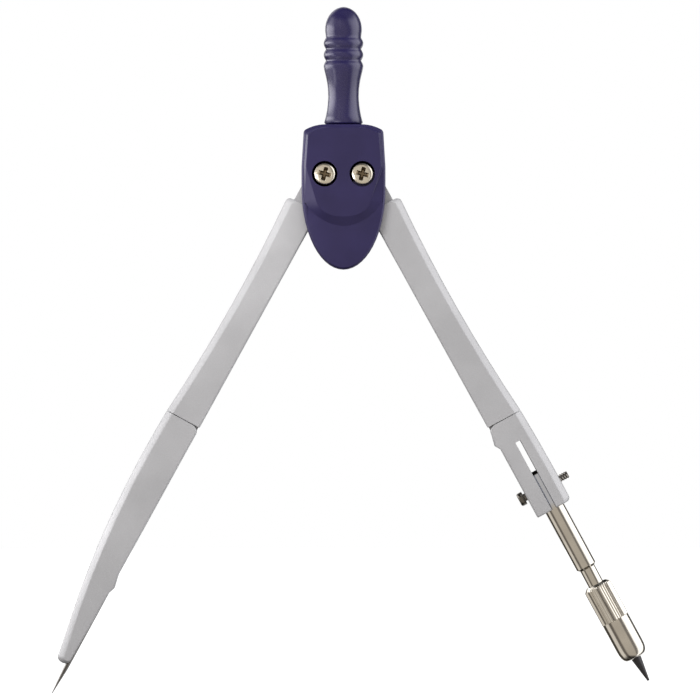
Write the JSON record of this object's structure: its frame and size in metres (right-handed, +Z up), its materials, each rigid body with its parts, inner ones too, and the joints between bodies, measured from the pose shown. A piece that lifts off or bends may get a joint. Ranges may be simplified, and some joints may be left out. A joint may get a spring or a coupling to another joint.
{
  "type": "drawing compass",
  "caption": "Geared-head drawing compass with a ringed grip, hinged legs, a steel needle point and a chuck that clamps a graphite lead.",
  "frame": {"origin": "centre of the ringed grip, on the handle's axis", "axes": "+Z up the handle, away from the points; +X towards the lead leg; -Y towards the face with the screw heads"},
  "size_m": [0.1196, 0.0103, 0.1373],
  "materials": {
    "indigo_plastic": "satin",
    "silver_paint": "satin",
    "nickel_plate": "polished",
    "passivated_steel": "satin",
    "hardened_steel": "satin",
    "washer_steel": "satin",
    "graphite": "matte"
  },
  "bodies": {
    "head": {"handle_grip": "indigo_plastic", "head_front_cover": "indigo_plastic", "head_back_cover": "indigo_plastic", "pivot_screw_left": "passivated_steel", "pivot_screw_right": "passivated_steel", "pivot_nut_left": "passivated_steel", "pivot_nut_right": "passivated_steel", "washer_left_front": "washer_steel", "washer_left_back": "washer_steel", "washer_right_front": "washer_steel", "washer_right_back": "washer_steel"},
    "left_leg": {"upper_leg_left": "silver_paint"},
    "needle_arm": {"needle_leg": "silver_paint", "needle": "hardened_steel", "knee_pin_left": "hardened_steel"},
    "right_leg": {"upper_leg_right": "silver_paint"},
    "lead_arm": {"lead_leg": "silver_paint", "knee_pin_right": "hardened_steel"},
    "clamp": {"clamp_screw": "nickel_plate"},
    "holder": {"lead_holder_stem": "nickel_plate", "collet": "nickel_plate"},
    "sleeve": {"chuck_sleeve": "nickel_plate"},
    "lead_stick": {"lead": "graphite"}
  },
  "joints": [
    {"name": "right_leg_swing", "type": "hinge", "parent": "head", "child": "right_leg", "pos_m": [0.00375, 0, -0.0239], "axis": [0, -1, 0], "range_deg": [-29, 32]},
    {"name": "left_leg_swing", "type": "hinge", "parent": "head", "child": "left_leg", "pos_m": [-0.00375, 0, -0.0239], "axis": [0, 1, 0], "range_deg": [-29, 32]},
    {"name": "left_knee", "type": "hinge", "parent": "left_leg", "child": "needle_arm", "pos_m": [-0.03082, 0, -0.07521], "axis": [0, -1, 0], "range_deg": [0, 60]},
    {"name": "right_knee", "type": "hinge", "parent": "right_leg", "child": "lead_arm", "pos_m": [0.03086, 0, -0.07519], "axis": [0, 1, 0], "range_deg": [0, 60]},
    {"name": "clamp_screw_turn", "type": "hinge", "parent": "lead_arm", "child": "clamp", "pos_m": [0.03841, 0.0034, -0.08747], "axis": [-0.878, 0, -0.4787], "range_deg": [0, 360]},
    {"name": "lead_holder_slide", "type": "slide", "parent": "lead_arm", "child": "holder", "axis": [0.4787, 0, -0.878], "range_m": [-0.006, 0.0035]},
    {"name": "chuck_turn", "type": "hinge", "parent": "holder", "child": "sleeve", "pos_m": [0.04222, 0, -0.09063], "axis": [0.4787, 0, -0.878], "range_deg": [0, 360]},
    {"name": "lead_slide", "type": "slide", "parent": "holder", "child": "lead_stick", "axis": [0.4787, 0, -0.878], "range_m": [-0.0045, 0.004]}
  ],
  "couplings": [
    {"joint": "left_leg_swing", "follows": "right_leg_swing", "ratio": 1}
  ]
}
